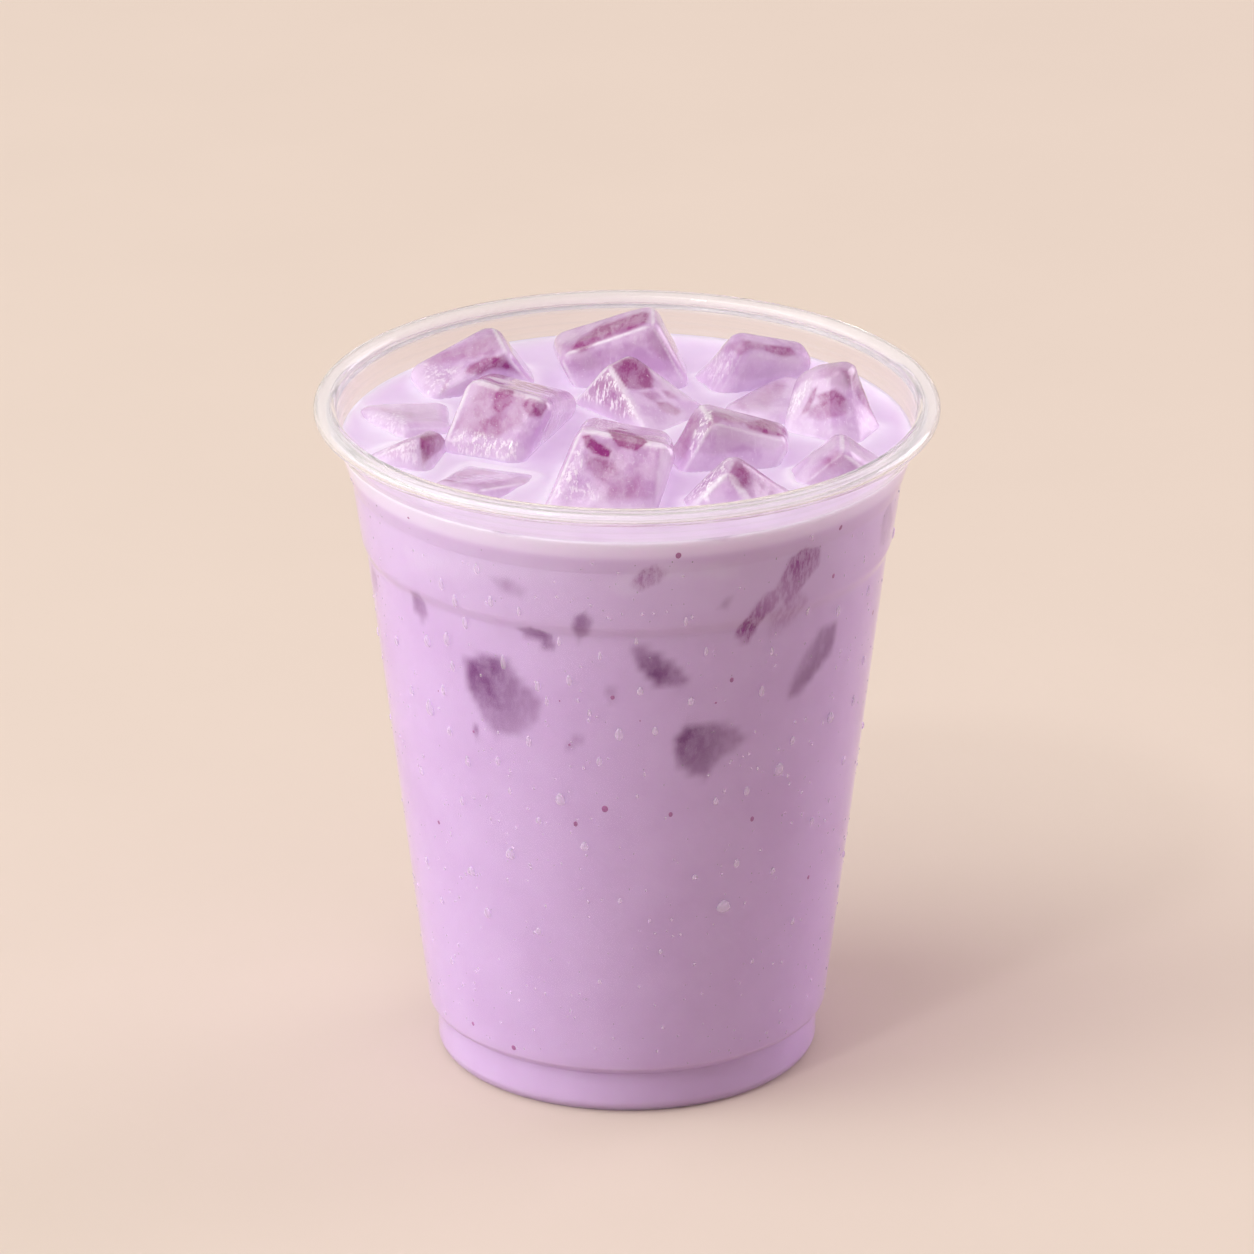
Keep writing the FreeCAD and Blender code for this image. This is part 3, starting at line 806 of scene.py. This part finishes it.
def make_ice(number, material):
    """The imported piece, evened out, melted a little and marked."""
    node = "ice_%02d" % number
    mesh, flats = evened(node)
    points = points_of(mesh)
    normals = np.zeros(len(points) * 3)
    mesh.vertices.foreach_get("normal", normals)
    normals = normals.reshape(-1, 3)
    edge = 1 - ease(0.6, 0.9, second_face(points, flats))
    melt = 0.3 * wave(points, 6.5, number) + 0.08 * wave(points, 2.3, number + 20)
    melt = np.minimum(melt, 0.02) + ICE_SKIN + ICE_EDGE * edge
    points += normals * melt[:, None]
    swell_left(points, number)
    points[:, 2] = np.minimum(points[:, 2], CAD_BOUNDS[1][2] / MM - 0.02)
    put_points(mesh, points)
    # The same weight places the painted highlight along the ice's edges.
    weigh(mesh, "edge", edge)
    wobble = 0.22 * wave(points, 3.5, number + 40) + 0.1 * wave(points, 1.3, number + 60)
    flat = np.stack([points @ RIGHT, points @ UP], 1)
    facing = 1 - ease(-0.05, 0.25, normals @ AWAY)
    marks = {"s": 0.7 * ease(0.1, 0.4, wave(points, 5.5, number + 90)) * (1 - facing),
             "f": 0.8 * ease(0.1, 0.4, wave(points, 4.5, number + 120)) * (1 - facing),
             "p": 0.5 * ease(0.2, 0.5, wave(points, 6.5, number + 150)) * (1 - facing)}
    for piece, kind, strength, soft, numbers in ICE_ZONES:
        if piece == number:
            cover = zone_cover(flat, strength, soft, paired(numbers), wobble, ICE_FADE)
            marks[kind] = laid(marks[kind], facing * cover)
    weigh(mesh, "stain", marks["s"])
    weigh(mesh, "frost", marks["f"])
    height = points[:, 2] - SURFACE
    low = 0.62 * (1 - ease(0.3, 4.5, height + 0.8 * wave(points, 4.0, number + 30)))
    weigh(mesh, "pale", laid(marks["p"], low))
    wet = height + 0.3 * wave(points, 3.0, number + 80)
    weigh(mesh, "film", 0.9 * (1 - ease(0.15, 0.7, wet)))
    mesh.materials.clear()
    mesh.materials.append(material)
    smooth(mesh)
    piece = bpy.data.objects.new(node + "_wet", mesh)
    bpy.context.scene.collection.objects.link(piece)
    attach(piece, "root")
    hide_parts(node)
    return piece


def swell_left(points, number):
    """Widens a piece to its left by its row in BULGE."""
    top, bottom = BULGE.get(number, (0, 0))
    along = np.clip((points[:, 0].max() - points[:, 0]) / np.ptp(points[:, 0]), 0, 1)
    down = np.clip((points[:, 2].max() - points[:, 2]) / (points[:, 2].max() - SURFACE), 0, 1.2)
    points[:, 0] -= along * (top + (bottom - top) * down)


def flat_faces(shape):
    """Planes of the large flat faces: unit normal and distance from the origin in mm."""
    area = {}
    place = {}
    for face in shape.faces:
        key = tuple(round(v, 2) for v in face.normal)
        area[key] = area.get(key, 0) + face.calc_area() / MM ** 2
        place[key] = (face.normal.copy(), face.verts[0].co.dot(face.normal) / MM)
    return [place[key] for key in area if area[key] > 20]


def second_face(points, flats):
    """Distance in mm from each point to the nearest flat face but one."""
    gaps = np.array([np.abs(reach - points @ np.array(normal)) for normal, reach in flats])
    return np.sort(gaps, axis=0)[1]


def waterline(pieces):
    """Points in mm where the ice passes through the surface of the drink."""
    found = []
    for piece in pieces:
        points = points_of(piece.data)
        found.append(points[np.abs(points[:, 2] - SURFACE) < 0.35][:, :2])
    return np.vstack([f for f in found if len(f)])


# ---- drink ------------------------------------------------------------------------------
def make_drink(material, shore):
    """Solid of drink that reaches just into the wall, raised where it wets wall and ice."""
    reach = WALL - 0.12
    line = rounded([
        (AXIS, 1.78, 0), (26.4, 1.78, 0.4), (27.0, 0.58, 0.3), (FOOT - reach, 0.58, 1.5),
        *wall_line(reach)])
    side = [p for p in divided(line, lambda z: 0.55 if z > 74 else 1.5) if p.y < LEVEL + 0.3]
    edge = WET_RADIUS - reach
    side.append(Vector((edge, WET_EDGE)))
    top = [Vector((edge * (1 - k / DRINK_RINGS), SURFACE)) for k in range(1, DRINK_RINGS)]
    top.append(Vector((AXIS, SURFACE)))
    angles = [math.radians(first + step * k)
              for first, step, count in DRINK_COLUMNS for k in range(count)]
    drink = turned("drink_body", side + top, angles)
    points = points_of(drink.data)
    radius = np.hypot(points[:, 0], points[:, 1])
    on_top = (np.abs(points[:, 2] - SURFACE) < 0.01) & (radius < edge - 0.2)
    near = shore_distance(points, on_top, shore)
    climb = WET_EDGE - SURFACE
    rise = 0.45 * np.exp(-near / 0.9) + climb * np.exp(-np.abs(edge - radius) / 1.3)
    swell = 0.22 * wave(points, 9.0, 3) + 0.1 * wave(points, 3.5, 5)
    points[on_top, 2] = SURFACE + (rise + swell)[on_top]
    put_points(drink.data, points)
    below = ~on_top
    marks = sunk_marks(points, below, reach)
    weigh(drink.data, "stain", marks["s"])
    weigh(drink.data, "rosy", marks["m"])
    # The top is paler all over, and paler still near the ice as painted light that stands for
    # light coming through the ice.
    top_pale_and_lit = 0.7 + 0.3 * np.exp(-near / 0.8) + 0.2 * wave(points, 7.0, 15)
    # The side is paler towards the top.
    paler_up = 0.36 * ease(76, 101, points[:, 2])
    weigh(drink.data, "pale", np.where(below, laid(marks["p"], paler_up), top_pale_and_lit))
    # Painted light: a pale band on the side just under the surface stands for light coming through
    # the milk there.
    neck = 0.7 * ease(LEVEL - 3.6, LEVEL - 2.2, points[:, 2])
    # On the top, the drink is lighter near the ice and the wall, partly froth and partly painted
    # light in the shade between the pieces.
    brink = np.maximum(np.exp(-near / 1.0), np.exp(-np.abs(edge - radius) / 0.8))
    cream_and_light = 0.12 + 0.8 * brink + 0.18 * wave(points, 5.0, 27)
    weigh(drink.data, "froth_and_light", np.where(below, neck, cream_and_light))
    drink.data.materials.append(material)
    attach(drink, "root")
    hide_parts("drink")


def shore_distance(points, chosen, shore):
    """Distance in mm, seen from above, from the chosen points to the ice; far for others."""
    near = np.full(len(points), 99.0)
    chosen = np.where(chosen)[0]
    batch = 2000
    for start in range(0, len(chosen), batch):
        part = chosen[start:start + batch]
        gap = points[part, None, :2] - shore[None]
        near[part] = np.sqrt((gap ** 2).sum(2).min(1))
    return near


def sunk_marks(points, below, reach):
    """Cover of each kind of mark that sunk ice makes against the wall."""
    wobble = 0.35 * wave(points, 3.5, 9) + 0.12 * wave(points, 1.5, 11)
    marks = {kind: np.zeros(len(points)) for kind in "smp"}
    angle = np.arctan2(points[:, 0], -points[:, 1]) % (2 * math.pi)
    largest = 16
    near_zones = [(*row, paired(numbers)) for *row, numbers in SUNK_ZONES]
    for kind, strength, soft, corners in near_zones + far_zones():
        middle = np.mean(corners, axis=0)
        around = side_radius(middle[1], reach)
        turn = math.radians(middle[0])
        away = (angle - turn + math.pi) % (2 * math.pi) - math.pi
        flat = np.stack([(away + turn) * around, points[:, 2]], 1)
        mine = np.abs(away) * around < largest
        mine &= below & (np.abs(points[:, 2] - middle[1]) < largest)
        spots = [(math.radians(a) * around, z) for a, z in corners]
        cover = zone_cover(flat[mine], strength, soft, spots, wobble[mine], SUNK_FADE)
        marks[kind][mine] = laid(marks[kind][mine], cover)
    return marks


def far_zones():
    """Soft corners of sunk ice on the sides and back, in the manner of the front ones."""
    zones = []
    sides = 6
    for _ in range(FAR_MARKS):
        middle = (random.uniform(82, 278), random.uniform(64, 98))
        size = random.uniform(1.2, 4.6)
        lean = random.uniform(0, math.pi)
        flat = random.uniform(0.4, 0.9)
        outline = []
        for k in range(sides):
            t = 2 * math.pi * k / sides + random.uniform(-0.3, 0.3)
            r = size * random.uniform(0.75, 1.15)
            x = r * math.cos(t)
            y = r * flat * math.sin(t)
            outline.append((middle[0] + 1.45 * (x * math.cos(lean) - y * math.sin(lean)),
                            middle[1] + x * math.sin(lean) + y * math.cos(lean)))
        heart = tuple(0.6 * a + 0.4 * b for a, b in zip(outline[0], middle))
        kind = random.choice("sssm")
        zones.append((kind, random.uniform(0.45, 0.85), 0.3 * size, [heart] + outline))
    return zones


# ---- specks and drops -------------------------------------------------------------------
def side_radius(z, inset):
    """Radius of the side wall at a height in mm."""
    line = [(r - inset, h) for r, h, _ in SIDE]
    if z <= line[0][1]:
        return line[0][0]
    for (r0, z0), (r1, z1) in zip(line, line[1:]):
        if z <= z1:
            return r0 + (r1 - r0) * (z - z0) / (z1 - z0)
    return line[-1][0]


def beads(name, rows, inset, flat, material):
    """Many small rounded beads on the side wall as one mesh.

    Each row is angle, height, half width, half height, and sag from 0 to 1. A bead stands
    out by flat times its half width.
    """
    verts = []
    faces = []
    for angle, z, wide, tall, sag in rows:
        spin = Matrix.Rotation(angle, 3, "Z")
        start = len(verts)
        segments, levels = (12, 5) if wide > FINE_BEAD else (6, 2)
        lift = flat * wide
        for i in range(levels + 1):
            tip = i / levels * math.pi / 2
            for k in range(segments):
                t = 2 * math.pi * k / segments
                up = math.cos(t) * math.cos(tip)
                out = math.sin(tip)
                narrow = 1 - sag * 0.35 * up
                place_z = z + tall * up
                radius = side_radius(place_z, inset) + lift * out - BEAD_SUNK
                v = spin @ Vector((wide * math.sin(t) * math.cos(tip) * narrow, -radius, place_z))
                verts.append(v * MM)
        for i in range(levels):
            for k in range(segments):
                m = (k + 1) % segments
                a = start + i * segments
                faces.append((a + k, a + m, a + segments + m, a + segments + k))
    obj = made(name, verts, faces)
    obj.data.materials.append(material)
    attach(obj, "root")


def drop_rows():
    """The placed drops, some more round the back, and fine mist all over."""
    rows = []
    for x, y, z, wide, tall in DROPS:
        rows.append((math.atan2(x, -y), z, wide * 1.08, tall * 1.05, random.uniform(0.2, 1)))
    for _ in range(FAR_DROPS):
        rows.append((math.radians(random.uniform(80, 280)), random.uniform(25, 98),
                     random.uniform(0.3, 0.7), random.uniform(0.6, 1.2), random.uniform(0, 1)))
    for _ in range(MIST_DROPS):
        z = random.uniform(9, 100)
        if DRY_RING[0] < z < DRY_RING[1]:
            continue
        size = random.choice((0.08, 0.09, 0.11, 0.14, 0.18, 0.25))
        rows.append((random.uniform(0, 2 * math.pi), z, size, size * random.uniform(1, 1.8), 0))
    return rows


def speck_rows():
    """The placed specks and some more round the back."""
    rows = []
    for x, y, z, size in SPECKS:
        rows.append((math.atan2(x, -y), z, size * 0.55, size * random.uniform(0.45, 0.8), 0))
    for _ in range(FAR_SPECKS):
        size = random.uniform(0.15, 0.45)
        rows.append((math.radians(random.uniform(75, 285)), random.uniform(10, 100), size,
                     size * random.uniform(0.8, 1.3), 0))
    return rows


# ---- build ------------------------------------------------------------------------------
clear_plastic = plastic_material()
ice = ice_material()
latte = latte_material()
water = water_material()
speck = speck_material()

make_cup(clear_plastic)
ice_pieces = [make_ice(k + 1, ice) for k in range(ICE_COUNT)]
make_drink(latte, waterline(ice_pieces))
beads("condensation_drops", drop_rows(), 0.0, 0.6, water)
beads("taro_specks", speck_rows(), WALL - 0.14, 0.12, speck)

# ---- floor, camera and light; metres and degrees ----------------------------------------
FLOOR_HALF = 6
EYE_PLACE = (0, -1.3787, 0.6459)
EYE_LENS = 271.7
LAMP_AWAY = 3
# Lamps: name, turn from the front to the right, height, angular radius, power, colour.
LAMPS = [
    ("key", -60, 66, 22, 29, (0.985, 1.04, 0.985)),
    ("side", -80, 16, 22, 40, (0.98, 1.1, 0.985)),
    ("edge", 122, 16, 18, 28, (1.06, 0.98, 1.1)),
    ("window", 66, 14, 12, 2, (1, 1, 1)),
    ("glint", -34, 48, 3, 8, (1, 1, 1)),
]
ROOM_COLOUR = (1.0, 0.9, 0.83, 1)
ROOM_STRENGTH = 0.58


def lamp(name, turn, height, spread, power, colour):
    """Round lamp that shines at the origin."""
    data = bpy.data.lights.new(name, "AREA")
    data.shape = "DISK"
    data.size = 2 * LAMP_AWAY * math.tan(math.radians(spread))
    data.energy = power
    data.color = colour
    obj = bpy.data.objects.new(name, data)
    turn = math.radians(turn)
    height = math.radians(height)
    way = Vector((math.sin(turn) * math.cos(height), -math.cos(turn) * math.cos(height),
                  math.sin(height)))
    obj.location = LAMP_AWAY * way
    obj.rotation_euler = way.to_track_quat("Z", "Y").to_euler()
    scene.collection.objects.link(obj)


scene = bpy.context.scene
half = FLOOR_HALF
ground = made("floor", [(-half, -half, 0), (half, -half, 0), (half, half, 0), (-half, half, 0)],
              [(0, 1, 2, 3)])
ground.data.materials.append(floor_material())

lens = bpy.data.cameras.new("eye")
lens.sensor_width = 36
lens.lens = EYE_LENS
lens.clip_start = 0.01
lens.clip_end = 60
eye = bpy.data.objects.new("eye", lens)
eye.location = EYE_PLACE
eye.rotation_euler = (math.radians(90) - LOOK_DOWN, 0, 0)
scene.collection.objects.link(eye)
scene.camera = eye

for row in LAMPS:
    lamp(*row)

world = bpy.data.worlds.new("room")
world.use_nodes = True
light = world.node_tree.nodes["Background"]
light.inputs["Color"].default_value = ROOM_COLOUR
light.inputs["Strength"].default_value = ROOM_STRENGTH
scene.world = world
scene.view_settings.view_transform = "Standard"
